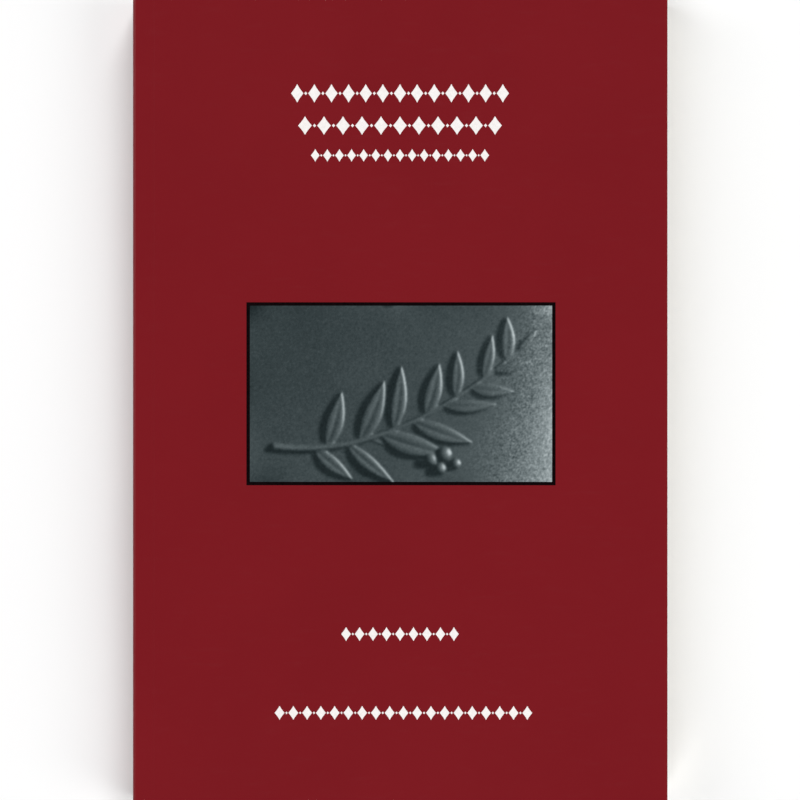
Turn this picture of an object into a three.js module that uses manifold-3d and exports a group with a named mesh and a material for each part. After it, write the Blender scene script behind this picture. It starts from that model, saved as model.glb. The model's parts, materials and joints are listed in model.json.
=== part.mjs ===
// A paperback book, closed and lying on its back cover, with its spine to the left.
// Units are millimetres and +Z is up. X runs from the spine to the fore-edge and Y from the
// tail to the head. The origin is the middle of the book's outline, at the height of the table.
//
// The cover is one wrapped card, parted here where it folds: along the score in front, and
// along the middle of the spine. The leaves are glued to the spine in two halves, so that the
// book opens in its middle as well as at its front cover.

import * as THREE from "three";
import { mergeVertices } from "three/addons/utils/BufferGeometryUtils.js";
import Module from "manifold-3d";

const wasm = await Module();
wasm.setup();

// The book's trimmed size
const WIDTH = 156;
const HEIGHT = 234;
const THICKNESS = 18;

// The cover card, its folds and its score
const CARD = 0.4;
const FOLD_RADIUS = 1;
const FOLD_STEPS = 6;
const HINGE = 6; // from the spine to the score
const SCORE_WIDTH = 1;
const SCORE_DEPTH = 0.12;
const COVER_CURL = 0.9; // how far the front cover's fore-edge stands up
const CURL_STEPS = 24;

// The leaves and the glue along their spine edges
const GLUE = 0.6;
const PLAY = 0.3; // left between pieces that touch
const BUNDLES = 10; // bundles of leaves that show at the edges of each half
const SLIT = 0.2; // height of the slit between two bundles
const SLIT_DEPTH = 0.4;
const TRIM_SCATTER = 0.15; // how far a bundle may stand back from the trimmed edges

// Places that follow from the sizes
const LEFT = -WIDTH / 2;
const RIGHT = WIDTH / 2;
const HEAD = HEIGHT / 2;
const OPENING = THICKNESS / 2; // height at which the book opens
const SCORE = LEFT + HINGE;
const INNER_RADIUS = FOLD_RADIUS - CARD;
const GLUE_LEFT = LEFT + CARD + PLAY;
const LEAVES_LEFT = GLUE_LEFT + GLUE + PLAY;
const REAR_LEAVES = [CARD + PLAY, OPENING - PLAY / 2];
const FRONT_LEAVES = [OPENING + PLAY / 2, THICKNESS - CARD - PLAY];

const cardRed = new THREE.MeshStandardMaterial({ color: 0x7a1c23, roughness: 0.45 });
const paper = new THREE.MeshStandardMaterial({ color: 0xf0eadc, roughness: 0.9 });
const glueCream = new THREE.MeshStandardMaterial({ color: 0xe0d4b4, roughness: 0.5 });

// Random numbers from 0 to 1 that are the same in each run
function seeded(seed) {
  let state = seed;
  return () => {
    state = (state * 1664525 + 1013904223) % 4294967296;
    return state / 4294967296;
  };
}

// An outline in the XZ plane drawn out along Y over the book's whole height
function drawnOut(name, outline, material) {
  const geometry = new THREE.ExtrudeGeometry(outline, {
    depth: HEIGHT,
    bevelEnabled: false,
    curveSegments: FOLD_STEPS,
  });
  geometry.rotateX(Math.PI / 2);
  geometry.translate(0, HEAD, 0);
  const mesh = new THREE.Mesh(geometry, material);
  mesh.name = name;
  return mesh;
}

// The back panel, the rear half of the spine and the fold between them
function backCoverOutline() {
  const top = OPENING - PLAY / 2;
  const foldX = LEFT + FOLD_RADIUS;
  const outline = new THREE.Shape();
  outline.moveTo(RIGHT, 0);
  outline.lineTo(RIGHT, CARD);
  outline.absarc(foldX, FOLD_RADIUS, INNER_RADIUS, -Math.PI / 2, -Math.PI, true);
  outline.lineTo(LEFT + CARD, top);
  outline.lineTo(LEFT, top);
  outline.absarc(foldX, FOLD_RADIUS, FOLD_RADIUS, Math.PI, 1.5 * Math.PI, false);
  outline.lineTo(SCORE - SCORE_WIDTH / 2, 0);
  outline.lineTo(SCORE, SCORE_DEPTH);
  outline.lineTo(SCORE + SCORE_WIDTH / 2, 0);
  outline.closePath();
  return outline;
}

// How deep the score is at a distance from its middle
function scoreDepth(distance) {
  return SCORE_DEPTH * Math.max(0, 1 - distance / (SCORE_WIDTH / 2));
}

// The front half of the spine, with the glued strip in front up to the score
function spineOutline() {
  const bottom = OPENING + PLAY / 2;
  const end = SCORE - PLAY / 2;
  const foldX = LEFT + FOLD_RADIUS;
  const foldZ = THICKNESS - FOLD_RADIUS;
  const outline = new THREE.Shape();
  outline.moveTo(LEFT, bottom);
  outline.lineTo(LEFT + CARD, bottom);
  outline.absarc(foldX, foldZ, INNER_RADIUS, Math.PI, Math.PI / 2, true);
  outline.lineTo(end, THICKNESS - CARD);
  outline.lineTo(end, THICKNESS - scoreDepth(PLAY / 2));
  outline.lineTo(SCORE - SCORE_WIDTH / 2, THICKNESS);
  outline.absarc(foldX, foldZ, FOLD_RADIUS, Math.PI / 2, Math.PI, false);
  outline.closePath();
  return outline;
}

// How far the front cover has curled up at x
function curl(x) {
  return COVER_CURL * ((x - SCORE) / (RIGHT - SCORE)) ** 2;
}

// The front panel from the score to the fore-edge, curling up a little
function frontCoverOutline() {
  const start = SCORE + PLAY / 2;
  const flatEnd = SCORE + SCORE_WIDTH / 2;
  const outline = new THREE.Shape();
  outline.moveTo(start, THICKNESS - CARD);
  for (let i = 1; i <= CURL_STEPS; i++) {
    const x = flatEnd + ((RIGHT - flatEnd) * i) / CURL_STEPS;
    outline.lineTo(x, THICKNESS - CARD + curl(x));
  }
  for (let i = CURL_STEPS; i >= 0; i--) {
    const x = flatEnd + ((RIGHT - flatEnd) * i) / CURL_STEPS;
    outline.lineTo(x, THICKNESS + curl(x));
  }
  outline.lineTo(start, THICKNESS - scoreDepth(PLAY / 2));
  outline.closePath();
  return outline;
}

// A box between two corners
function boxBetween(low, high) {
  const geometry = new THREE.BoxGeometry(high[0] - low[0], high[1] - low[1], high[2] - low[2]);
  geometry.translate((low[0] + high[0]) / 2, (low[1] + high[1]) / 2, (low[2] + high[2]) / 2);
  return geometry;
}

// A closed geometry as a solid that can be joined
function solidOf(geometry) {
  geometry.deleteAttribute("normal");
  geometry.deleteAttribute("uv");
  const merged = mergeVertices(geometry);
  return new wasm.Manifold(
    new wasm.Mesh({
      numProp: 3,
      vertProperties: merged.attributes.position.array,
      triVerts: new Uint32Array(merged.index.array),
    }),
  );
}

// A solid as a flat-shaded geometry
function geometryOf(solid) {
  const { vertProperties, triVerts } = solid.getMesh();
  const shared = new THREE.BufferGeometry()
    .setAttribute("position", new THREE.BufferAttribute(vertProperties, 3))
    .setIndex(new THREE.BufferAttribute(triVerts, 1));
  const geometry = shared.toNonIndexed();
  geometry.computeVertexNormals();
  return geometry;
}

// One half of the leaves: bundles with slits between them at the three trimmed edges, joined
// behind the slits
function leaves(name, [bottom, top], seed) {
  const random = seeded(seed);
  const pitch = (top - bottom + SLIT) / BUNDLES;
  const coreLow = [LEAVES_LEFT, -HEAD + SLIT_DEPTH, bottom];
  const coreHigh = [RIGHT - SLIT_DEPTH, HEAD - SLIT_DEPTH, top];
  let block = solidOf(boxBetween(coreLow, coreHigh));
  for (let i = 0; i < BUNDLES; i++) {
    const low = bottom + i * pitch;
    const foreEdge = RIGHT - TRIM_SCATTER * random();
    const tail = -HEAD + TRIM_SCATTER * random();
    const head = HEAD - TRIM_SCATTER * random();
    const bundle = boxBetween([LEAVES_LEFT, tail, low], [foreEdge, head, low + pitch - SLIT]);
    block = block.add(solidOf(bundle));
  }
  const mesh = new THREE.Mesh(geometryOf(block), paper);
  mesh.name = name;
  return mesh;
}

// The glue along the spine edge of one half of the leaves
function glue(name, [bottom, top]) {
  const low = [GLUE_LEFT, -HEAD + PLAY, bottom];
  const high = [GLUE_LEFT + GLUE, HEAD - PLAY, top];
  const mesh = new THREE.Mesh(boxBetween(low, high), glueCream);
  mesh.name = name;
  return mesh;
}

// A group that turns about the line along Y through (x, z), holding pieces made in place
function hinged(x, z, pieces) {
  const group = new THREE.Group();
  group.position.set(x, 0, z);
  for (const piece of pieces) {
    piece.position.sub(group.position);
    group.add(piece);
  }
  return group;
}

const frontCover = hinged(SCORE, THICKNESS + PLAY / 2, [
  drawnOut("cover_front", frontCoverOutline(), cardRed),
]);

const frontHalf = hinged(LEFT - PLAY / 2, OPENING, [
  drawnOut("cover_spine", spineOutline(), cardRed),
  glue("glue_front", FRONT_LEAVES),
  leaves("leaves_front", FRONT_LEAVES, 11),
  frontCover,
]);

const book = new THREE.Group();
book.add(
  drawnOut("cover_back", backCoverOutline(), cardRed),
  glue("glue_rear", REAR_LEAVES),
  leaves("leaves_rear", REAR_LEAVES, 29),
  frontHalf,
);

export default book;
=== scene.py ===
# The looks of a closed paperback that lies on its back cover, seen from straight above.
# The card cover, every leaf, the glue and all that is printed are built round the CAD model.

import json
import math

import bpy
import numpy as np
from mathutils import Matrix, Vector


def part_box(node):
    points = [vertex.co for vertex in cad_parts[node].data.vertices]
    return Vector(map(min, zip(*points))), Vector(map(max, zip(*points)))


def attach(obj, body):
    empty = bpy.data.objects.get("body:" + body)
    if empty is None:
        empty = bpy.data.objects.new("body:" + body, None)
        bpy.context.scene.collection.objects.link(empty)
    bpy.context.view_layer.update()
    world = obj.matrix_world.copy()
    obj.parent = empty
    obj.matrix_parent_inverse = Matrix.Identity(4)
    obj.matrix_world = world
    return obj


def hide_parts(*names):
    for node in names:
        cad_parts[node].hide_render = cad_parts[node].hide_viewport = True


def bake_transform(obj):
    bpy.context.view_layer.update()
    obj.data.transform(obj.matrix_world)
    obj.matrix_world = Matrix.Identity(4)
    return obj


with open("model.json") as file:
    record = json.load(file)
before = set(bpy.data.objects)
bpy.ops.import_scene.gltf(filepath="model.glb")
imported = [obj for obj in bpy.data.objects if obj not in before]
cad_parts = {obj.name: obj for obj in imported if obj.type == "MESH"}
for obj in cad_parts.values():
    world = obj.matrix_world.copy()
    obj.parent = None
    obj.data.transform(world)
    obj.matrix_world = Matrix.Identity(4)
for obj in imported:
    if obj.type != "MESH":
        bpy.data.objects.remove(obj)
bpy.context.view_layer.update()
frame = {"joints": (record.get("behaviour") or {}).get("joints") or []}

MM = 0.001

# Places read from the frame
LEFT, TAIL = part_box("cover_back")[0][:2]
RIGHT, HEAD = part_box("cover_back")[1][:2]
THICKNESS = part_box("cover_spine")[1].z
COVER_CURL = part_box("cover_front")[1].z - THICKNESS
JOINTS = {joint["name"]: joint["pos_m"] for joint in frame["joints"]}
SCORE = JOINTS["front_cover_hinge"][0]
OPENING = JOINTS["middle_hinge"][2]

# The cover card
CARD = 0.4 * MM
FOLD_RADIUS = 1.0 * MM
SCORE_WIDTH = 1.0 * MM
SCORE_DEPTH = 0.05 * MM
CORNER_LIFT = 0.25 * MM
PRINTED, INSIDE, CUT = range(3)  # the looks of its faces, in the order of its materials

# How finely the card is divided
FOLD_STEPS = 8
FINE_STEP = 0.1 * MM  # where it bends or is scored
BEND_STRIP = 1.2 * MM  # reach of the fine steps to each side of a bend
SCORE_STRIP = 0.6 * MM  # and to each side of the score that does not bend
RIM, RIM_STEP = 1.2 * MM, 0.2 * MM  # along a cut edge
BORDER, BORDER_STEP = 6 * MM, 1.2 * MM  # and from there inwards
NARROW_STEP = 1 * MM  # over the rest of the spine and the strips beside it
PANEL_STEP = 5 * MM  # over the rest of the panels
TALL_STEP = 9 * MM  # over the rest of the way from tail to head
SEAM = SCORE - BEND_STRIP  # where the wrap and the front panel of the card meet

# The leaves
LEAVES = 157
REAR_LEAVES = 79
LEAF = 0.098 * MM
BLOCK_BOTTOM = 0.44 * MM
BLOCK_TOP = THICKNESS - 0.44 * MM
OPENING_PLAY = 0.03 * MM  # from the middle of the book to the leaves on each side
LEAVES_LEFT = LEFT + CARD + 0.12 * MM
GROOVE = 0.12 * MM  # depth of the gap between the edges of two leaves
LEAF_SEED = 3
TRIM_DRIFT, TRIM_SPREAD = 0.012, 0.018  # millimetres from leaf to leaf, and of each by itself
SHADE_MIDDLE, SHADE_SPREAD = 0.35, 0.16
GUTTER, GUTTER_STEP = 22 * MM, 1.7 * MM  # the strip next to the spine that may bend
LEAF_STEP_X, LEAF_STEP_Y = 19 * MM, 29 * MM
FANNED = 3  # leaves in each bundle that bends at the opening
BUNDLES = 9  # bundles on each side of the opening
CURLED = 34  # how many of the foremost leaves follow the cover's curl
LEAF_CURL = 0.72  # the first leaf's share of the cover's curl
RIPPLE, RIPPLE_LENGTH, RIPPLE_SHIFT = 0.10, 23 * MM, 0.12  # the last is from leaf to leaf

# The glue
GLUE_SEED = 5
GLUE_LEFT = LEFT + CARD + 0.01 * MM
GLUE_RIGHT = LEFT + CARD + 0.75 * MM
GLUE_SHORT = (0.12, 0.45)  # millimetres from its ends to tail and head
GLUE_BULGE = 0.08  # millimetres
GLUE_STEP_Z, GLUE_STEP_Y = 0.55 * MM, 13 * MM

# What is printed on the card, measured from the middle of the cover
PRINT_PROUD = 0.012 * MM
PRINT_SUNK = 0.1 * MM
PANEL_CENTRE = (0.28 * MM, 1.82 * MM)
PANEL_SIZE = (90.2 * MM, 53.4 * MM)
PANEL_LINE = 1.0 * MM
LINE_STEPS = 18  # along each side of the line, so that it follows the cover's curl
PICTURE_STEP = 0.25 * MM
BACK_PANEL_X = (-62 * MM, -12 * MM, 10 * MM)  # start, end and step
BACK_PANEL_Y = (TAIL + 12 * MM, TAIL + 40 * MM, 7 * MM)

# The rows of lozenges, in millimetres: centre x, centre y, width and height
FRONT_CHAINS = (
    (0.0, 89.5, 65.0, 5.3),
    (0.0, 80.1, 61.0, 5.3),
    (0.0, 71.4, 53.0, 3.6),
    (0.0, -68.3, 35.4, 4.0),
    (1.0, -91.3, 76.3, 4.0),
)
SPINE_CHAINS = (  # centre y, length and height
    (78.0, 34.0, 3.0),
    (8.0, 84.0, 4.2),
    (-84.0, 30.0, 3.0),
)
FIRST_PAGE_CHAINS = ((0.0, 70.0, 48.0, 3.6), (0.0, -82.0, 26.0, 2.6))

# One lozenge and one dot of such a row
LOZENGE_PITCH = 1.02  # from one to the next, in heights of the row
LOZENGE_HALF = 0.36  # half its length, in pitches
LOZENGE_ROWS = 6
LOZENGE_HOLLOW = 1.15  # above 1, its sides are hollow
LOZENGE_TIP = 0.02  # half the width of its blunt tips, in half lengths
DOT_HALF = 0.09  # half its length, in pitches
DOT_HALF_HEIGHT = 0.1  # in heights of the row

# The bars that stand for text on the two pages at the opening
PAGE_PROUD = 0.008 * MM
TEXT_LEFT, TEXT_RIGHT = LEFT + 21 * MM, RIGHT - 17 * MM
TEXT_TOP, TEXT_FOOT = HEAD - 22 * MM, TAIL + 24 * MM
LINE_PITCH = 4.4 * MM
BAR = 1.6 * MM
SHORTEST_WORD, LONGEST_WORD = 2.2 * MM, 11.0 * MM
WORD_GAP = 1.4 * MM
INDENT = 5 * MM
PARAGRAPH = 11  # lines
LAST_LINE = 0.45  # the share of the width that a paragraph's last line fills
FOLIO, FOLIO_Y = 4 * MM, TAIL + 13 * MM  # the bar that stands for the page's number
RIGHT_PAGE_SEED, LEFT_PAGE_SEED = 21, 22

# The maps for the export, in shares of a map's side
MAP_MARGIN = 0.002
MAP_GAP = 0.006  # between the parts of a map, so that none takes another's colour
CARD_EDGE_BAND = 0.014
LEAF_EDGE_LINE = 0.008  # the most that one line of the leaves' edges takes
LEAF_EDGE_BAND = 0.27  # the most that all lines of one side take
HIDDEN_BAND = 0.03  # what a side takes that nothing shows
PICTURE_RIM = 0.2 * HIDDEN_BAND

# The studio
HEIGHT_SHOWN = 233.5 * MM  # how much of the cover's height fills the picture
LENS, SENSOR = 200, 36  # millimetres
CLIP = (0.05, 100)
FLOOR_REACH = 12.0
FLOOR_DROP = 0.02 * MM
FLOOR_GREYS = (0.90, 0.915)
BACKDROP_GREY = 0.95  # what the camera sees beyond the floor
FILL_GREY = 0.10  # the light from all round
SUNS = (  # name, strength, azimuth, elevation and spread in degrees
    ("key", 1.90, 165, 40, 26),
    ("near", 1.62, -15, 39, 30),
    ("left", 0.72, -105, 39, 34),
    ("right", 0.72, 75, 39, 34),
)


def linear(red, green, blue):
    """A colour of 0 to 255 as Blender's linear colour."""
    parts = [channel / 255 for channel in (red, green, blue)]
    return [p / 12.92 if p <= 0.04045 else ((p + 0.055) / 1.055) ** 2.4 for p in parts] + [1.0]


RED = linear(119, 19, 27)
RED_DEEP = linear(117, 18, 26)
CARD_WHITE = linear(238, 236, 230)
CARD_SHADE = linear(230, 227, 219)
CARD_STAIN = linear(214, 196, 186)
PAPER = linear(240, 236, 224)
PAPER_SHADE = linear(232, 227, 213)
# the leaves' edges from lightest to darkest tone; the darkest also serves as painted shade in the
# grooves
EDGE_LIGHT = linear(236, 230, 215)
EDGE_DARK = linear(196, 186, 164)
INK_WHITE = linear(243, 240, 238)
INK_WHITE_THIN = linear(236, 231, 229)
INK_BLACK = linear(6, 2, 3)
INK_BLACK_THIN = linear(14, 5, 7)
TEXT_GREY = linear(134, 130, 125)
TEXT_GREY_THIN = linear(152, 148, 141)
PAGE_INK = linear(44, 41, 40)
PAGE_INK_THIN = linear(60, 56, 54)
GLUE_LIGHT = linear(222, 205, 165)
GLUE_DARK = linear(206, 184, 138)

# The film over the print
FILM_GLOSS = 0.25
BLACK_GLOSS = 0.08  # less, so that the thin line stays black
FILM_ROUGHNESS = (0.29, 0.33)
SCUFF_ROUGHNESS = 0.05  # what a scuff adds
PEEL_DEPTH = 0.004 * MM
GRAIN_DEPTH = 0.001 * MM


# Materials


class Look:
    """One material and short ways to add nodes to it."""

    def __init__(self, name, roughness=0.5):
        self.material = bpy.data.materials.new(name)
        self.material.use_nodes = True
        self.tree = self.material.node_tree
        self.surface = self.tree.nodes["Principled BSDF"]
        self.place = self.add("TexCoord").outputs["Object"]
        self.fill(self.surface, {"Roughness": roughness})

    def fill(self, node, inputs):
        """Link each input of the node that is given a socket, and set the others."""
        for key, value in inputs.items():
            if isinstance(value, bpy.types.NodeSocket):
                self.tree.links.new(value, node.inputs[key])
            else:
                node.inputs[key].default_value = value

    def add(self, kind, inputs=None, **settings):
        """A new node of that kind."""
        node = self.tree.nodes.new("ShaderNode" + kind)
        for key, value in settings.items():
            setattr(node, key, value)
        self.fill(node, inputs or {})
        return node

    def noise(self, waves_per_mm, detail=2.0, stretch=(1, 1, 1)):
        """Noise from 0 to 1 with that many waves in a millimetre."""
        scaled = self.add("Mapping", {"Vector": self.place, "Scale": stretch})
        scale = waves_per_mm / MM
        inputs = {"Vector": scaled.outputs[0], "Scale": scale, "Detail": detail}
        return self.add("TexNoise", inputs).outputs["Fac"]

    def math(self, operation, a, b=0.0):
        """One sum or product of two values."""
        return self.add("Math", {0: a, 1: b}, operation=operation).outputs[0]

    def span(self, value, low, high, to_low=0.0, to_high=1.0):
        """Value moved from one range to another, and held inside it."""
        inputs = {"Value": value, "From Min": low, "From Max": high}
        inputs.update({"To Min": to_low, "To Max": to_high})
        return self.add("MapRange", inputs).outputs[0]

    def clouds(self, waves_per_mm, detail):
        """Noise with its contrast raised."""
        return self.span(self.noise(waves_per_mm, detail), 0.35, 0.65)

    def attribute(self, name):
        """The mesh's values of that name."""
        return self.add("Attribute", attribute_name=name).outputs["Fac"]

    def bump(self, height, depth, after=None):
        """A bump whose full height is depth, in metres."""
        inputs = {"Height": height, "Strength": 1.0, "Distance": depth}
        if after is not None:
            inputs["Normal"] = after
        return self.add("Bump", inputs).outputs[0]

    def paint(self, factor, first, second):
        """Colour the surface from first to second as the factor goes from 0 to 1."""
        mix = self.add("Mix", data_type="RGBA")
        self.fill(mix, {0: factor, 6: first, 7: second})
        self.fill(self.surface, {"Base Color": mix.outputs[2]})

    def emboss(self, height, depth):
        """Give the surface that bump."""
        self.fill(self.surface, {"Normal": self.bump(height, depth)})


def laminate(look, gloss=FILM_GLOSS):
    """The satin film over every printed face: soft gloss, fine grain and a few faint scuffs."""
    scuffs = look.span(look.noise(0.12, 4.0, (1, 6, 1)), 0.55, 0.75)
    grain = look.noise(2.2, 2.0)
    tooth = look.span(grain, 0.3, 0.7, *FILM_ROUGHNESS)
    rough = look.math("ADD", tooth, look.math("MULTIPLY", scuffs, SCUFF_ROUGHNESS))
    peel = look.bump(look.noise(0.45, 1.0), PEEL_DEPTH)
    fine = look.bump(grain, GRAIN_DEPTH, peel)
    look.fill(look.surface, {"Roughness": rough, "Normal": fine, "Specular IOR Level": gloss})
    return look.material


def red_print():
    """Dark red solid print, very slightly uneven."""
    look = Look("red_print")
    look.paint(look.clouds(0.03, 4.0), RED_DEEP, RED)
    return laminate(look)


def ink(name, thin, full, roughness=0.5):
    """One colour of ink that varies a little in strength."""
    look = Look(name, roughness)
    look.paint(look.clouds(1.2, 3.0), thin, full)
    return look


def picture_print():
    """The picture in cool greys: the mesh holds how light each place is, and the ramp its ink."""
    look = Look("picture_print")
    grain = look.span(look.noise(3.4, 1.0), 0.25, 0.75, -0.015, 0.015)
    tone = look.math("ADD", look.attribute("tone"), grain)
    ramp = look.add("ValToRGB", {"Fac": tone})
    stops = ramp.color_ramp.elements
    steps = 12
    for step in range(steps + 1):
        grey = step / steps
        green = max(0.0, 248 * grey - 2)
        stop = stops[step] if step < 2 else stops.new(grey)
        stop.position = grey
        stop.color = linear(max(0.0, green - 10), green, green + 2)
    look.fill(look.surface, {"Base Color": ramp.outputs["Color"]})
    return laminate(look)


def fibres(look):
    """How light paper fibres make a place, from 0 to 1."""
    cloud = look.noise(0.25, 4.0)
    threads = look.noise(1.6, 5.0, (1, 3, 1))
    return look.math("MULTIPLY", look.math("ADD", cloud, threads), 0.5)


def card_inside():
    """The uncoated white inside of the card."""
    look = Look("card_inside", 0.82)
    felt = fibres(look)
    look.paint(look.span(felt, 0.2, 0.8), CARD_SHADE, CARD_WHITE)
    look.emboss(felt, 0.01 * MM)
    return look.material


def card_edge():
    """The cut edge of the card: white core, stained a little by the print and by handling."""
    look = Look("card_edge", 0.85)
    stain = look.span(look.noise(1.5, 4.0), 0.45, 0.75)
    look.paint(stain, CARD_WHITE, CARD_STAIN)
    look.emboss(look.noise(6.0, 2.0), 0.02 * MM)
    return look.material


def leaf_paper():
    """Uncoated cream paper, a little different from leaf to leaf."""
    look = Look("leaf_paper", 0.88)
    felt = fibres(look)
    shade = look.math("ADD", felt, look.attribute("shade"))
    look.paint(look.span(shade, 0.2, 1.4), PAPER_SHADE, PAPER)
    look.emboss(felt, 0.006 * MM)
    return look.material


def leaf_edge():
    """The trimmed edges of the leaves: streaks along them, faint marks of the knife across, and
    painted shade in the grooves between the leaves.
    """
    look = Look("leaf_edge", 0.9)
    streaks = look.span(look.noise(3.6, 2.0, (0.0035, 0.0035, 1)), 0.32, 0.68)
    marks = look.span(look.noise(0.35, 3.0, (1, 1, 0.05)), 0.35, 0.75)
    # the mesh's shade holds each leaf's own tone, and painted shade on the grooves between leaves
    shade = look.math("ADD", look.attribute("shade"), look.math("MULTIPLY", streaks, 0.45))
    shade = look.math("ADD", shade, look.math("MULTIPLY", marks, 0.10))
    look.paint(look.span(shade, 0.1, 1.45), EDGE_LIGHT, EDGE_DARK)
    return look.material


def spine_glue():
    """Cream hot-melt glue, slightly waxy."""
    look = Look("spine_glue", 0.4)
    look.paint(look.clouds(1.1, 3.0), GLUE_LIGHT, GLUE_DARK)
    look.emboss(look.noise(1.8, 2.0), 0.05 * MM)
    return look.material


# Meshes


def piece_from(name, points, faces, materials, slots=None, values=None, corners=None):
    """An object from points and faces, with a material slot for each face, named values for
    each point, and the place of each face's corners in the map for the export."""
    mesh = bpy.data.meshes.new(name)
    mesh.from_pydata([tuple(p) for p in points], [], [tuple(f) for f in faces])
    for material in materials:
        mesh.materials.append(material)
    if slots is not None:
        mesh.polygons.foreach_set("material_index", np.asarray(slots, np.int32))
    for key, numbers in (values or {}).items():
        layer = mesh.attributes.new(key, "FLOAT", "POINT")
        layer.data.foreach_set("value", np.asarray(numbers, np.float32))
    if corners is not None:
        inside = MAP_MARGIN + (1 - 2 * MAP_MARGIN) * np.asarray(corners, np.float32)
        mesh.uv_layers.new(name="OFBake").data.foreach_set("uv", inside.ravel())
    mesh.update()
    piece = bpy.data.objects.new(name, mesh)
    bpy.context.scene.collection.objects.link(piece)
    return piece


def border(rows, columns):
    """The numbers of the points round a grid, anticlockwise from its first."""
    south = list(range(columns - 1))
    east = [r * columns + columns - 1 for r in range(rows - 1)]
    north = [(rows - 1) * columns + c for c in range(columns - 1, 0, -1)]
    west = [r * columns for r in range(rows - 1, 0, -1)]
    return south + east + north + west


def slab_faces(rows, columns, start=0, between=0):
    """The faces of a closed slab in three lists: upper, lower and rim. Its points are an upper
    grid of rows by columns from start on, a lower grid, and any loops of the rim between them."""
    lower = start + rows * columns
    upper_faces, lower_faces, rim = [], [], []
    for r in range(rows - 1):
        for c in range(columns - 1):
            a = r * columns + c
            quad = (a, a + 1, a + columns + 1, a + columns)
            upper_faces.append(tuple(start + k for k in quad))
            lower_faces.append(tuple(lower + k for k in reversed(quad)))
    loop = border(rows, columns)
    count = len(loop)
    first = lower + rows * columns
    rings = [[start + k for k in loop]]
    rings += [[first + level * count + k for k in range(count)] for level in range(between)]
    rings.append([lower + k for k in loop])
    for above, below in zip(rings, rings[1:]):
        rim += wall(above, below)
    return upper_faces, lower_faces, rim


def wall(above, below):
    """The faces between two closed rings of points, one above the other."""
    count = len(above)
    pairs = [(k, (k + 1) % count) for k in range(count)]
    return [(above[n], above[k], below[k], below[n]) for k, n in pairs]


def grid_map(rows_at, columns_at, low, high):
    """The corners of a grid's faces in a map, with the rows along it and the columns up it."""
    up = [low + (high - low) * at for at in columns_at]
    corners = []
    for r0, r1 in zip(rows_at, rows_at[1:]):
        for c0, c1 in zip(up, up[1:]):
            corners += [(r0, c0), (r0, c1), (r1, c1), (r1, c0)]
    return corners


def slab_map(rows_at, columns_at, bands, between=0):
    """The corners of the faces of a slab in a map, which keeps the thin lines of its rim sharp:
    a band for each side of the rim, from the bottom up, and then the two grids."""
    top = sum(bands)
    middle = (1 + top) / 2
    corners = grid_map(rows_at, columns_at, top, middle - MAP_GAP)
    lower = grid_map(rows_at, columns_at, middle, 1)
    for k in range(0, len(lower), 4):
        corners += reversed(lower[k : k + 4])
    sides = (columns_at, rows_at, columns_at[::-1], rows_at[::-1])
    for level in range(between + 1):
        foot = 0.0
        for side, band in zip(sides, bands):
            line = (band - MAP_GAP) / (between + 1)
            high = foot + band - MAP_GAP - level * line
            for a, b in zip(side, side[1:]):
                corners += [(b, high), (a, high), (a, high - line), (b, high - line)]
            foot += band
    return corners


def shares(values):
    """Where each value lies between the first and the last, from 0 to 1."""
    return [(value - values[0]) / (values[-1] - values[0]) for value in values]


def stations(*spans):
    """Values along spans of (start, end, step), each value once."""
    same = 1e-9
    found = []
    for start, end, step in spans:
        count = max(1, round(abs(end - start) / step))
        found += [start + (end - start) * k / count for k in range(count + 1)]
    kept = [found[0]]
    for value in found[1:]:
        if abs(value - kept[-1]) > same:
            kept.append(value)
    return kept


# The card cover


def toward_edge(start, edge, step):
    """Spans from start to a cut edge, divided more finely near it."""
    return (
        (start, edge - BORDER, step),
        (edge - BORDER, edge - RIM, BORDER_STEP),
        (edge - RIM, edge, RIM_STEP),
    )


CARD_Y = stations(
    (TAIL, TAIL + RIM, RIM_STEP),
    (TAIL + RIM, TAIL + BORDER, BORDER_STEP),
    *toward_edge(TAIL + BORDER, HEAD, TALL_STEP),
)


def free_share(x):
    """How far x lies from the score to the fore-edge, from 0 to 1."""
    return max(0.0, (x - SCORE) / (RIGHT - SCORE))


def curl(x):
    """How far the front cover has curled up at x."""
    return COVER_CURL * free_share(x) ** 2


def score_dip(x):
    """How deep the score is at x."""
    away = abs(x - SCORE) / (SCORE_WIDTH / 2)
    return SCORE_DEPTH * (0.5 + 0.5 * math.cos(math.pi * away)) if away < 1 else 0.0


def front_surface(x):
    """The height of the front cover's outer face at x."""
    return THICKNESS + curl(x) - score_dip(x)


def corner_lift(x, y):
    """The front cover's free corners stand up a little more than its edge."""
    along = abs(2 * y / (HEAD - TAIL))
    return CORNER_LIFT * free_share(x) ** 3 * along**4


def card_piece(name, profile, looks, sides):
    """A sheet of card from pairs of outer and inner points in the XZ plane, drawn out along Y.
    Sides are the looks of its edges at the tail, the profile's end, the head and its start."""
    rows, columns = len(CARD_Y), len(profile)
    points = []
    for face in (0, 1):
        for y in CARD_Y:
            for pair in profile:
                x, z = pair[face]
                lift = corner_lift(x, y) if z > OPENING else 0.0
                points.append((x, y, z + lift))
    outer, inner, rim = slab_faces(rows, columns)
    slots = [PRINTED] * len(outer) + [INSIDE] * len(inner)
    for side, edges in zip(sides, (columns - 1, rows - 1) * 2):
        slots += [side] * edges
    lengths = [math.dist(a[0], b[0]) for a, b in zip(profile, profile[1:])]
    along = shares([sum(lengths[:k]) for k in range(columns)])
    corners = slab_map(shares(CARD_Y), along, [CARD_EDGE_BAND] * 4)
    return piece_from(name, points, outer + inner + rim, looks, slots, corners=corners)


def front_profile():
    """The front panel from the seam to the fore-edge."""
    xs = stations(
        (SEAM, SCORE + BEND_STRIP, FINE_STEP),
        *toward_edge(SCORE + BEND_STRIP, RIGHT, PANEL_STEP),
    )
    return [((x, front_surface(x)), (x, THICKNESS - CARD + curl(x))) for x in xs]


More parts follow.
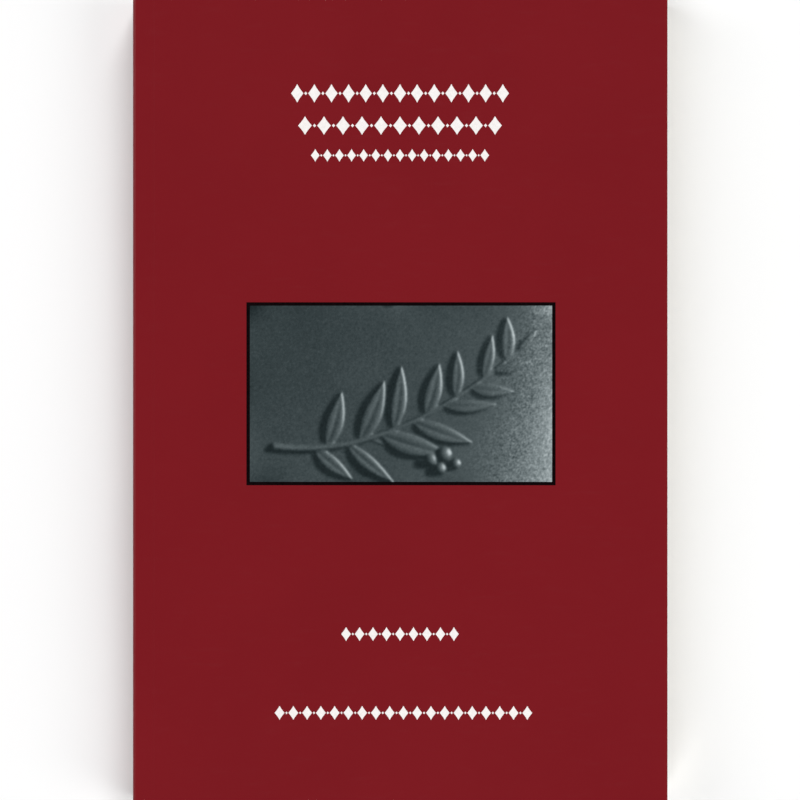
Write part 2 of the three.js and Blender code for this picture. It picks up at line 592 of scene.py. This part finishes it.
def fold(centre, start, end):
    """Outer and inner points of a fold round a centre, between two angles in degrees."""
    pairs = []
    for step in range(1, FOLD_STEPS):
        angle = math.radians(start + (end - start) * step / FOLD_STEPS)
        x, z = math.cos(angle), math.sin(angle)
        radii = (FOLD_RADIUS, FOLD_RADIUS - CARD)
        pairs.append([(centre[0] + x * radius, centre[1] + z * radius) for radius in radii])
    return pairs


def wrap_profile():
    """The front strip from the seam to the spine, the spine, and the back panel."""
    fold_x = LEFT + FOLD_RADIUS
    strip = stations((SEAM, fold_x, NARROW_STEP))
    pairs = [((x, THICKNESS), (x, THICKNESS - CARD)) for x in strip]
    pairs += fold((fold_x, THICKNESS - FOLD_RADIUS), 90, 180)
    spine = stations(
        (THICKNESS - FOLD_RADIUS, OPENING + BEND_STRIP, NARROW_STEP),
        (OPENING + BEND_STRIP, OPENING - BEND_STRIP, FINE_STEP),
        (OPENING - BEND_STRIP, FOLD_RADIUS, NARROW_STEP),
    )
    pairs += [((LEFT, z), (LEFT + CARD, z)) for z in spine]
    pairs += fold((fold_x, FOLD_RADIUS), 180, 270)
    back = stations(
        (fold_x, SCORE - SCORE_STRIP, NARROW_STEP),
        (SCORE - SCORE_STRIP, SCORE + SCORE_STRIP, FINE_STEP),
        *toward_edge(SCORE + SCORE_STRIP, RIGHT, PANEL_STEP),
    )
    pairs += [((x, score_dip(x)), (x, CARD)) for x in back]
    return pairs


def build_cover(looks):
    """The two pieces of the card: the front panel, and the wrap round spine and back. Their
    edges at the seam are red like the print, so that no white line shows along it."""
    front = card_piece("cover_card_front", front_profile(), looks, (CUT, CUT, CUT, PRINTED))
    wrap_points = list(reversed(wrap_profile()))
    wrap = card_piece("cover_card_wrap", wrap_points, looks, (CUT, PRINTED, CUT, CUT))
    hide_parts("cover_front")
    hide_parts("cover_back", "cover_spine")
    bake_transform(front)
    bend_spine(wrap)


def bend_spine(piece):
    """The piece's transform, applied to its points."""
    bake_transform(piece)


# Printing on the card


def lozenge_rows(half_length, half_height):
    """A lozenge with slightly hollow sides, as the height and half width of rows across it."""
    rows = []
    for k in range(LOZENGE_ROWS + 1):
        across = -half_height + 2 * half_height * k / LOZENGE_ROWS
        narrower = max(0.0, 1 - abs(across) / half_height)
        half_width = half_length * max(LOZENGE_TIP, narrower**LOZENGE_HOLLOW)
        rows.append((across, half_width))
    return rows


def chain_shapes(width, height):
    """The lozenges and dots of one ornamental row, as (centre, rows) along the row."""
    fitting = width / (LOZENGE_PITCH * height)
    count = max(3, 2 * round((fitting - 1) / 2) + 1)
    pitch = width / count
    shapes = []
    for k in range(count):
        centre = (k - (count - 1) / 2) * pitch
        shapes.append((centre, lozenge_rows(LOZENGE_HALF * pitch, height / 2)))
        if k:
            dot = lozenge_rows(DOT_HALF * pitch, DOT_HALF_HEIGHT * height)
            shapes.append((centre - pitch / 2, dot))
    return shapes


def chains_piece(name, chains, place, look):
    """Rows of lozenges as one piece, each shape a closed slab. Place gives the point that lies
    so far along a row, across it and above its surface."""
    points, faces = [], []
    for numbers in chains:
        chain = [number * MM for number in numbers]
        for centre, rows in chain_shapes(*chain[-2:]):
            start = len(points)
            for height in (PRINT_PROUD, -PRINT_SUNK):
                for across, half in rows:
                    points.append(place(chain, centre - half, across, height))
                    points.append(place(chain, centre + half, across, height))
            upper, lower, rim = slab_faces(len(rows), 2, start)
            faces += upper + lower + rim
    piece = piece_from(name, points, faces, [look])
    return piece


def on_cover(x, y, height):
    """A point that far above the front cover's outer face."""
    return (x, y, front_surface(x) + corner_lift(x, y) + height)


def on_front(chain, along, across, height):
    """A row on the front cover runs along +X."""
    return on_cover(chain[0] + along, chain[1] + across, height)


def on_spine(chain, along, across, height):
    """A row on the spine runs along -Y, so that it reads downwards."""
    return (LEFT - height, chain[0] - along, OPENING + across)


def rectangle(half_x, half_y, steps):
    """Points round a rectangle, anticlockwise, with that many steps along each side."""
    corners = [(-half_x, -half_y), (half_x, -half_y), (half_x, half_y), (-half_x, half_y)]
    points = []
    for (ax, ay), (bx, by) in zip(corners, corners[1:] + corners[:1]):
        for step in range(steps):
            along = step / steps
            points.append((ax + (bx - ax) * along, ay + (by - ay) * along))
    return points


def build_panel_line(look):
    """The black line round the picture, as a ring of four mitred bars."""
    half_x, half_y = PANEL_SIZE[0] / 2, PANEL_SIZE[1] / 2
    ring = rectangle(half_x, half_y, LINE_STEPS)
    ring += rectangle(half_x - PANEL_LINE, half_y - PANEL_LINE, LINE_STEPS)
    points = []
    for height in (PRINT_PROUD, -PRINT_SUNK):
        points += [on_cover(PANEL_CENTRE[0] + x, PANEL_CENTRE[1] + y, height) for x, y in ring]
    count = 4 * LINE_STEPS
    outer, inner, outer_below, inner_below = np.arange(4 * count).reshape(4, count).tolist()
    faces = wall(inner, outer) + wall(outer_below, inner_below)
    faces += wall(outer, outer_below) + wall(inner_below, inner)
    piece = piece_from("panel_line", points, faces, [look])
    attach(piece, "front_cover")


def build_front_print(white, black, picture):
    """Everything that is printed on the front cover."""
    chains = chains_piece("front_chains", FRONT_CHAINS, on_front, white)
    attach(chains, "front_cover")
    build_panel_line(black)
    build_picture(picture)


def build_spine_print(white):
    """The rows of lozenges down the spine."""
    bend_spine(chains_piece("spine_chains", SPINE_CHAINS, on_spine, white))


def build_back_panel(white):
    """The blank white panel near the foot of the back cover."""
    xs, ys = stations(BACK_PANEL_X), stations(BACK_PANEL_Y)
    points = [(x, y, z) for z in (PRINT_SUNK, -PRINT_PROUD) for y in ys for x in xs]
    upper, lower, rim = slab_faces(len(ys), len(xs))
    piece = piece_from("back_panel", points, upper + lower + rim, [white])
    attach(piece, "rear_half")


# The picture: a sprig of leaves and berries on gritty ground, lit low from the right. It is
# worked out in millimetres from its middle, as heights that are then lit and throw shadows.

PICTURE_SEED = 7
TO_LIGHT = np.array((0.80, 0.30, 0.52))
TO_LIGHT_FLAT = np.linalg.norm(TO_LIGHT[:2])

# The stem, and the pairs of leaves along it
STEM = ((-37.0, -15.5), (-4.0, -20.0), (34.0, 12.5))  # foot, pull and tip of its curve
STEM_RADII = (1.35, 0.6)
STALK_ARCH = 1.6  # a stalk's height over its radius
LEAF_PAIRS = (0.20, 0.34, 0.48, 0.61, 0.73, 0.84, 0.93)  # where they stand on the stem
STAGGER = 0.025  # how far each leaf of a pair stands from that place
SPREAD = (60, 36)  # degrees between leaf and stem, at the foot and at the tip
SPREAD_VARIES = 7
LONGEST, LONGEST_AT = 19.5, 0.45
SHORTER = 15  # how much shorter a leaf would be that stood a whole stem away from there
LENGTH_VARIES = 0.09
FULLNESS, FULLNESS_VARIES = 0.15, 0.02  # half a leaf's width over its length
TIP_LEAF = 8.5
LEAF_BASE = 0.7  # the height of a leaf's base over the ground

# The berries on their stalks
FORK = 0.40  # where the stalks leave the stem
BERRY_STALK = 0.38
BERRIES = ((8.6, -19.2, 2.0), (12.6, -17.6, 2.3), (11.4, -21.8, 1.8), (15.9, -20.4, 1.6))

# Tones from 0 to 1
GROUND, GROUND_RISE = 0.235, 0.04  # at the upper left, and what each way adds
GLOW = 0.154  # what the lit right side adds
SWELL = 0.035  # the share by which the ground's tone wanders
IN_SHADE, IN_LIGHT, GLOSS = 0.14, 0.36, 0.36  # the sprig, and what light and gloss add
GLOSS_FROM = 0.74  # how straight a place must face the light to be glossy
SPRIG_SHADOW, GROUND_SHADOW = 0.7, 0.5
GRAIN, GLOW_GRAIN = 0.011, 0.45
TONE_LIMITS = (0.02, 0.95)

# Radii of what is blurred, in millimetres
SWELL_SIZE, FORM_BLUR, SHADOW_BLUR, TONE_BLUR, GRAIN_SIZE = 4.0, 0.25, 0.3, 0.22, 0.17
OUTLINE_BLUR = 0.15


def blurred(field, radius):
    """The field smoothed by a bell of that radius in grid steps."""
    reach = max(1, int(3 * radius))
    weights = np.exp(-0.5 * (np.arange(-reach, reach + 1) / radius) ** 2)
    weights /= weights.sum()
    for axis in (0, 1):
        around = [(reach, reach) if a == axis else (0, 0) for a in (0, 1)]
        padded = np.pad(field, around, "edge")
        size = field.shape[axis]
        parts = [w * np.take(padded, range(k, k + size), axis) for k, w in enumerate(weights)]
        field = sum(parts)
    return field


def soft_step(value, width):
    """0 below -width, 1 above width, and a smooth rise between."""
    t = np.clip(0.5 + 0.5 * value / width, 0, 1)
    return t * t * (3 - 2 * t)


def stem_point(t):
    """A point of the sprig's stem and its direction, for t from foot to tip."""
    foot, pull, tip = (np.array(p) for p in STEM)
    point = (1 - t) ** 2 * foot + 2 * t * (1 - t) * pull + t**2 * tip
    way = 2 * (1 - t) * (pull - foot) + 2 * t * (tip - pull)
    return point, way / np.linalg.norm(way)


def stalk_height(x, y, points, radii):
    """The height of a round stalk through the points."""
    height = np.zeros_like(x)
    for (px, py), radius in zip(points, radii):
        inside = radius**2 - (x - px) ** 2 - (y - py) ** 2
        height = np.maximum(height, STALK_ARCH * np.sqrt(np.clip(inside, 0, None)))
    return height


def blades():
    """Base, direction, length and fullness of each leaf: pairs along the stem, and the last at
    its tip. Sines of the pair's number make them differ."""
    found = []
    for k, t in enumerate(LEAF_PAIRS):
        for side in (-1, 1):
            base, way = stem_point(min(1.0, t + STAGGER * side))
            spread = SPREAD[0] + (SPREAD[1] - SPREAD[0]) * t
            spread += SPREAD_VARIES * math.sin(3.1 * k + side)
            turn = math.radians(side * spread)
            cos, sin = math.cos(turn), math.sin(turn)
            leaf_way = (way[0] * cos - way[1] * sin, way[0] * sin + way[1] * cos)
            length = LONGEST - SHORTER * abs(t - LONGEST_AT)
            length *= 1 + LENGTH_VARIES * math.sin(5.3 * k + 2 * side)
            fullness = FULLNESS + FULLNESS_VARIES * math.cos(4 * k + side)
            found.append((base, leaf_way, length, fullness))
    tip, way = stem_point(1.0)
    found.append((tip, way, TIP_LEAF, FULLNESS))
    return found


def blade_shape(x, y, base, way, length, fullness):
    """How far each place is inside one leaf, and the leaf's height there: it arches up from its
    base, its halves fold up from the midrib, and its margins curl down."""
    along = (x - base[0]) * way[0] + (y - base[1]) * way[1]
    across = (y - base[1]) * way[0] - (x - base[0]) * way[1]
    t = np.clip(along / length, 0.0, 1.0)
    sweep = 0.12 * length * t**2
    across = np.abs(across - sweep)
    half = fullness * length * np.sin(np.pi * t**0.8) ** 0.85
    inside = np.where((along < 0) | (along > length), -1.0, half - across)
    u = np.clip(across / np.maximum(half, 0.05), 0, 1)
    veins = 0.05 * np.sin(1.9 * length * t - 5 * u) * u * (1 - u)
    folded = half * (0.55 * u - 0.62 * u**2)
    arch = 0.17 * length * t * (1.25 - t)
    return inside, LEAF_BASE + arch + folded + veins


def stalks_height(x, y):
    """The height of the stem and the berries' stalks."""
    ts = np.linspace(0, 1, 140)
    radii = [STEM_RADII[0] + (STEM_RADII[1] - STEM_RADII[0]) * t for t in ts]
    height = stalk_height(x, y, [stem_point(t)[0] for t in ts], radii)
    fork = stem_point(FORK)[0]
    ts = np.linspace(0, 1, 60)
    for bx, by, _ in BERRIES:
        points = [fork + (np.array((bx, by)) - fork) * t for t in ts]
        height = np.maximum(height, stalk_height(x, y, points, [BERRY_STALK] * len(ts)))
    return height


def sprig_heights(x, y):
    """The height of the sprig over the ground, and how much of each place it covers."""
    height = stalks_height(x, y)
    covered = soft_step(height - 0.2, 0.2)
    for bx, by, radius in BERRIES:
        dome = np.sqrt(np.clip(1 - ((x - bx) ** 2 + (y - by) ** 2) / radius**2, 0, 1))
        height = np.maximum(height, radius * (0.6 * (dome > 0) + 1.1 * dome))
        covered = np.maximum(covered, soft_step(dome - OUTLINE_BLUR, OUTLINE_BLUR))
    for blade in blades():
        inside, shape = blade_shape(x, y, *blade)
        share = soft_step(inside, OUTLINE_BLUR)
        height = np.maximum(height, shape * share)
        covered = np.maximum(covered, share)
    return height, covered


def toward_light(field, reach, step):
    """The field's values a reach away towards the light."""
    right, up = (round(reach * part / step) for part in TO_LIGHT[:2] / TO_LIGHT_FLAT)
    return np.roll(field, (-up, -right), (0, 1))


def shadows(height, step):
    """How deep each place lies in the shadow of what stands towards the light. The further off
    that is, the softer its shadow."""
    slope = TO_LIGHT[2] / TO_LIGHT_FLAT
    shadow = np.zeros_like(height)
    for reach in np.arange(0.4, 7.0, 0.3):
        over = toward_light(height, reach, step) - height - reach * slope
        softness = 0.15 + 0.18 * reach
        shadow = np.maximum(shadow, np.clip(over / softness, 0, 1))
    return blurred(shadow, SHADOW_BLUR / step)


def sprig_tones(height, shadow, step):
    """How light the sprig's surface is, from its slopes and the shadow on it."""
    rise_y, rise_x = np.gradient(height, step)
    length = np.sqrt(1 + rise_x**2 + rise_y**2)
    facing = (TO_LIGHT[2] - rise_x * TO_LIGHT[0] - rise_y * TO_LIGHT[1]) / length
    lit = IN_LIGHT * np.clip(facing, 0, 1) * (1 - SPRIG_SHADOW * shadow)
    gloss = np.clip((facing - GLOSS_FROM) / (1 - GLOSS_FROM), 0, 1) ** 1.5
    return IN_SHADE + lit + GLOSS * gloss * (1 - shadow)


def picture_tones(xs, ys):
    """How light the picture is at each place, from 0 to 1."""
    rng = np.random.default_rng(PICTURE_SEED)
    x, y = np.meshgrid(xs, ys)
    step = xs[1] - xs[0]
    right, down = (x / xs[-1] + 1) / 2, (1 - y / ys[-1]) / 2
    glow = GLOW * right**7 * (1 + 1.3 * down)
    ground = GROUND + GROUND_RISE * down + GROUND_RISE * right + glow
    swell = blurred(rng.normal(size=x.shape), SWELL_SIZE / step)
    ground *= 1 + SWELL * swell / swell.std()
    height, covered = sprig_heights(x, y)
    height = blurred(height, FORM_BLUR / step)
    shadow = shadows(height, step)
    sprig = sprig_tones(height, shadow, step) + 0.6 * glow
    tones = ground * (1 - GROUND_SHADOW * shadow) * (1 - covered) + sprig * covered
    tones = blurred(tones, TONE_BLUR / step)
    grain = blurred(rng.normal(size=x.shape), GRAIN_SIZE / step)
    strength = GRAIN + GLOW_GRAIN * np.clip(ground - 0.33, 0, 0.08)
    return np.clip(tones + grain / grain.std() * strength, *TONE_LIMITS)


def picture_map(xs, ys, loop):
    """The picture's map: the face below, the rim and then the grid, from the bottom up."""
    rows_at, columns_at = shares(ys), shares(xs)
    around = [(rows_at[k // len(xs)], columns_at[k % len(xs)]) for k in loop]
    corners = grid_map(rows_at, columns_at, 3 * HIDDEN_BAND, 1)
    corners += [(along, HIDDEN_BAND * up) for along, up in reversed(around)]
    lifted = [(along, HIDDEN_BAND * (1 + up)) for along, up in around]
    for (a, up_a), (b, up_b) in zip(lifted, lifted[1:] + lifted[:1]):
        corners += [(b, up_b), (a, up_a), (a, up_a + PICTURE_RIM), (b, up_b + PICTURE_RIM)]
    return corners


def build_picture(look):
    """The picture inside the black line: a grid fine enough for its tones, with one face below."""
    width, height = (size - 2 * PANEL_LINE for size in PANEL_SIZE)
    columns, rows = round(width / PICTURE_STEP) + 1, round(height / PICTURE_STEP) + 1
    xs = np.linspace(-width / 2, width / 2, columns)
    ys = np.linspace(-height / 2, height / 2, rows)
    tones = picture_tones(xs / MM, ys / MM).ravel()
    places = [(PANEL_CENTRE[0] + x, PANEL_CENTRE[1] + y) for y in ys for x in xs]
    loop = border(rows, columns)
    points = [on_cover(x, y, PRINT_PROUD) for x, y in places]
    points += [on_cover(*places[k], -PRINT_SUNK) for k in loop]
    below = list(range(len(places), len(points)))
    faces = slab_faces(rows, columns)[0] + [below[::-1]] + wall(loop, below)
    values = {"tone": np.concatenate([tones, tones[loop]])}
    corners = picture_map(xs, ys, loop)
    piece = piece_from("cover_picture", points, faces, [look], None, values, corners)
    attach(piece, "front_cover")


# The leaves


def leaf_variety():
    """How far each leaf is cut back at fore-edge, tail and head, and how dark its edges are.
    Both drift slowly through the block."""
    rng = np.random.default_rng(LEAF_SEED)
    drift = np.cumsum(rng.normal(0, TRIM_DRIFT, (LEAVES, 3)), 0)
    drift -= drift.mean(0)
    trim = np.abs(drift + rng.normal(0, TRIM_SPREAD, (LEAVES, 3))) * MM
    shade = np.clip(SHADE_MIDDLE + drift[:, 0] + rng.normal(0, SHADE_SPREAD, LEAVES), 0, 1)
    return trim, shade


TRIM, SHADE = leaf_variety()
GUTTER_END = LEFT + GUTTER
LEAF_X = stations((LEAVES_LEFT, GUTTER_END, GUTTER_STEP), (GUTTER_END, RIGHT, LEAF_STEP_X))
LEAF_Y = stations((TAIL, HEAD, LEAF_STEP_Y))


def leaf_bottom(number):
    """The height of a leaf's underside, counted from the back of the book."""
    if number < REAR_LEAVES:
        pitch = (OPENING - OPENING_PLAY - BLOCK_BOTTOM) / REAR_LEAVES
        return BLOCK_BOTTOM + number * pitch
    pitch = (BLOCK_TOP - OPENING - OPENING_PLAY) / (LEAVES - REAR_LEAVES)
    return OPENING + OPENING_PLAY + (number - REAR_LEAVES) * pitch


def leaf_lift(number, x, y):
    """The foremost leaves follow the curl of the cover a little at their fore-edge."""
    share = max(0.0, 1 - (LEAVES - 1 - number) / CURLED)
    ripple = 1 + RIPPLE * math.sin(y / RIPPLE_LENGTH + RIPPLE_SHIFT * number)
    return LEAF_CURL * COVER_CURL * share**3 * free_share(x) ** 2 * ripple


def rim_levels(numbers):
    """Leaf, height, extra inset and shade of each line round the rim of a stack, from the top
    down: the two edges of every leaf, and a groove between two leaves. The groove's line is
    painted the darkest, as the shade that falls in the gap between two leaves."""
    levels = []
    for number in reversed(numbers):
        bottom = leaf_bottom(number)
        levels.append((number, bottom + LEAF, 0.0, SHADE[number]))
        levels.append((number, bottom, 0.0, SHADE[number]))
        if number > numbers[0]:
            middle = (bottom + leaf_bottom(number - 1) + LEAF) / 2
            # painted shade: the groove's line takes the darkest edge colour
            levels.append((number, middle, GROOVE, 1.0))
    return levels


def leaf_stack(name, numbers, looks):
    """Leaves that move together as one closed piece whose rim shows the edge of each."""
    rows, columns = len(LEAF_Y), len(LEAF_X)
    grid = [(x, y) for y in LEAF_Y for x in LEAF_X]
    loop = border(rows, columns)
    levels = rim_levels(numbers)
    points, shade = [], []

    def put(station, number, height, inset, dark):
        """Add a point of that leaf, held inside its trimmed edges."""
        fore, tail, head = TRIM[number] + inset
        x = min(station[0], RIGHT - fore)
        y = min(max(station[1], TAIL + tail), HEAD - head)
        points.append((x, y, height + leaf_lift(number, x, y)))
        # the leaf's own tone on its edges, and painted shade on the lines of the grooves
        shade.append(dark)

    for level in (levels[0], levels[-1]):
        for station in grid:
            put(station, *level)
    for level in levels[1:-1]:
        for place in loop:
            put(grid[place], *level)
    between = len(levels) - 2
    upper, lower, rim = slab_faces(rows, columns, 0, between)
    faces = upper + lower + rim
    slots = [0] * (len(upper) + len(lower)) + [1] * len(rim)
    band = min(LEAF_EDGE_BAND, LEAF_EDGE_LINE * (between + 1))
    corners = slab_map(shares(LEAF_Y), shares(LEAF_X), [band] * 3 + [HIDDEN_BAND], between)
    piece = piece_from(name, points, faces, looks, slots, {"shade": shade}, corners)
    return piece


def fan_bend(piece):
    """The bundle's transform, applied to its points."""
    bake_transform(piece)


def build_leaves(looks):
    """The two rigid halves of the block, and the bundles of leaves next to the opening."""
    fanned = FANNED * BUNDLES
    rear = leaf_stack("leaves_rear_block", range(REAR_LEAVES - fanned), looks)
    front = leaf_stack("leaves_front_block", range(REAR_LEAVES + fanned, LEAVES), looks)
    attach(rear, "rear_half")
    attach(front, "front_half")
    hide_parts("leaves_rear")
    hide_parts("leaves_front")
    for k in range(BUNDLES):
        top = REAR_LEAVES - k * FANNED
        low = REAR_LEAVES + k * FANNED
        below = leaf_stack(f"leaves_rear_fan_{k + 1}", range(top - FANNED, top), looks)
        above = leaf_stack(f"leaves_front_fan_{k + 1}", range(low, low + FANNED), looks)
        fan_bend(below)
        fan_bend(above)


# The glue


def glue_piece(name, low, high, look, rng):
    """One bead of glue between card and leaves, uneven inside and ragged at its ends."""
    heights = stations((low, high, GLUE_STEP_Z))
    ys = stations((TAIL, HEAD, GLUE_STEP_Y))
    points = []
    for x in (GLUE_RIGHT, GLUE_LEFT):
        for z in heights:
            tail, head = rng.uniform(*GLUE_SHORT, 2) * MM
            bulge = rng.uniform(-GLUE_BULGE, GLUE_BULGE) * MM if x == GLUE_RIGHT else 0.0
            for y in ys:
                points.append((x + bulge, min(max(y, TAIL + tail), HEAD - head), z))
    upper, lower, rim = slab_faces(len(heights), len(ys))
    piece = piece_from(name, points, upper + lower + rim, [look])
    return piece


def build_glue(look):
    """The bead of glue of each half."""
    rng = np.random.default_rng(GLUE_SEED)
    halves = (
        ("rear", BLOCK_BOTTOM, OPENING - OPENING_PLAY),
        ("front", OPENING + OPENING_PLAY, BLOCK_TOP),
    )
    for half, low, high in halves:
        piece = glue_piece(f"glue_bead_{half}", low, high, look, rng)
        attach(piece, f"{half}_half")
        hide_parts(f"glue_{half}")


# Printing on the pages, seen when the book is open


def add_bar(points, faces, left, right, foot, page):
    """A thin slab of ink that stands a little above and below the face of a page."""
    start = len(points)
    for z in (page + PAGE_PROUD, page - PAGE_PROUD):
        points += [(x, y, z) for y in (foot, foot + BAR) for x in (left, right)]
    upper, lower, rim = slab_faces(2, 2, start)
    faces += upper + lower + rim


def word_bars(rng, indent, width):
    """Start and end of each bar in a line, the last of which ends at the width."""
    bars = []
    x = indent
    while x < width:
        word = rng.uniform(SHORTEST_WORD, LONGEST_WORD)
        if x + word + WORD_GAP + SHORTEST_WORD > width:
            word = width - x
        bars.append((x, x + word))
        x += word + WORD_GAP
    return bars


def text_piece(name, page, underside, look, seed):
    """Lines of plain bars of word length, as a page looks from too far away to read. On the
    underside of a leaf they run from the fore-edge to the spine."""
    rng = np.random.default_rng(seed)
    points, faces = [], []
    line = 0
    y = TEXT_TOP
    while y > TEXT_FOOT:
        row = line % PARAGRAPH
        indent = INDENT if row == 0 else 0.0
        filled = LAST_LINE if row == PARAGRAPH - 1 else 1.0
        for start, end in word_bars(rng, indent, filled * (TEXT_RIGHT - TEXT_LEFT)):
            left, right = TEXT_LEFT + start, TEXT_LEFT + end
            if underside:
                left, right = TEXT_RIGHT - end, TEXT_RIGHT - start
            add_bar(points, faces, left, right, y - BAR / 2, page)
        y -= LINE_PITCH
        line += 1
    middle = (TEXT_LEFT + TEXT_RIGHT) / 2
    add_bar(points, faces, middle - FOLIO / 2, middle + FOLIO / 2, FOLIO_Y, page)
    piece = piece_from(name, points, faces, [look])
    return piece


def on_first_page(chain, along, across, height):
    """A row on the first page runs along +X, and its ink ends inside the leaf."""
    x, y = chain[0] + along, chain[1] + across
    page = leaf_bottom(LEAVES - 1) + LEAF + leaf_lift(LEAVES - 1, x, y)
    return (x, y, page + max(height, -LEAF / 2))


def build_page_print(text, solid):
    """The bars on the two pages at the opening, and two rows of lozenges on the first page."""
    page = leaf_bottom(REAR_LEAVES - 1) + LEAF
    right = text_piece("text_right_page", page, False, text, RIGHT_PAGE_SEED)
    page = leaf_bottom(REAR_LEAVES)
    left = text_piece("text_left_page", page, True, text, LEFT_PAGE_SEED)
    name = "title_page_chains"
    title = chains_piece(name, FIRST_PAGE_CHAINS, on_first_page, solid)
    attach(right, "rear_half")
    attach(left, "front_half")
    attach(title, "front_half")


# The studio


def build_camera():
    """Straight above the cover, whose height fills the picture as in the photograph."""
    data = bpy.data.cameras.new("camera")
    data.lens = LENS
    data.sensor_width = SENSOR
    data.clip_start, data.clip_end = CLIP
    camera = bpy.data.objects.new("camera", data)
    distance = HEIGHT_SHOWN / 2 / (SENSOR / 2 / LENS)
    camera.location = (0, 0, THICKNESS + distance)
    bpy.context.scene.collection.objects.link(camera)
    bpy.context.scene.camera = camera


def grey(tone):
    """A linear grey as a colour with alpha."""
    return (tone, tone, tone, 1)


def build_floor():
    """A plain pale floor."""
    side = FLOOR_REACH
    points = [(-side, -side, 0), (side, -side, 0), (side, side, 0), (-side, side, 0)]
    look = Look("floor_pale", 0.95)
    shade = look.span(look.noise(0.004, 2.0), 0.3, 0.7)
    look.paint(shade, *(grey(tone) for tone in FLOOR_GREYS))
    look.fill(look.surface, {"Specular IOR Level": 0.1})
    floor = piece_from("floor", points, [(0, 1, 2, 3)], [look.material])
    floor.location.z = -FLOOR_DROP


def add_sun(name, strength, azimuth, elevation, spread):
    """A soft distant light. Azimuth 0 stands in the south, where -Y is, and 90 in the east."""
    data = bpy.data.lights.new(name, "SUN")
    data.energy = strength
    data.angle = math.radians(spread)
    light = bpy.data.objects.new(name, data)
    light.rotation_euler = (math.radians(90 - elevation), 0, math.radians(azimuth))
    bpy.context.scene.collection.objects.link(light)


def build_lights():
    """Four soft lights round the book, low enough not to be mirrored straight up, and a pale
    backdrop that adds a little light."""
    for sun in SUNS:
        add_sun(*sun)
    world = bpy.data.worlds.new("studio")
    bpy.context.scene.world = world
    world.use_nodes = True
    tree = world.node_tree
    seen = tree.nodes.new("ShaderNodeLightPath")
    pale = tree.nodes.new("ShaderNodeBackground")
    pale.inputs["Color"].default_value = grey(BACKDROP_GREY)
    dim = tree.nodes["Background"]
    dim.inputs["Color"].default_value = grey(FILL_GREY)
    mix = tree.nodes.new("ShaderNodeMixShader")
    tree.links.new(seen.outputs["Is Camera Ray"], mix.inputs[0])
    tree.links.new(dim.outputs[0], mix.inputs[1])
    tree.links.new(pale.outputs[0], mix.inputs[2])
    tree.links.new(mix.outputs[0], tree.nodes["World Output"].inputs["Surface"])


def main():
    """The camera and the studio, and then the book from its cover to its pages."""
    build_camera()
    build_lights()
    build_floor()
    bpy.context.scene.view_settings.view_transform = "Standard"
    white = laminate(ink("white_print", INK_WHITE_THIN, INK_WHITE))
    black = laminate(ink("black_print", INK_BLACK_THIN, INK_BLACK), BLACK_GLOSS)
    text = ink("text_print", TEXT_GREY_THIN, TEXT_GREY, 0.8).material
    page_ink = ink("page_ink", PAGE_INK_THIN, PAGE_INK, 0.8).material
    build_cover([red_print(), card_inside(), card_edge()])
    build_front_print(white, black, picture_print())
    build_spine_print(white)
    build_back_panel(white)
    build_leaves([leaf_paper(), leaf_edge()])
    build_glue(spine_glue())
    build_page_print(text, page_ink)


main()
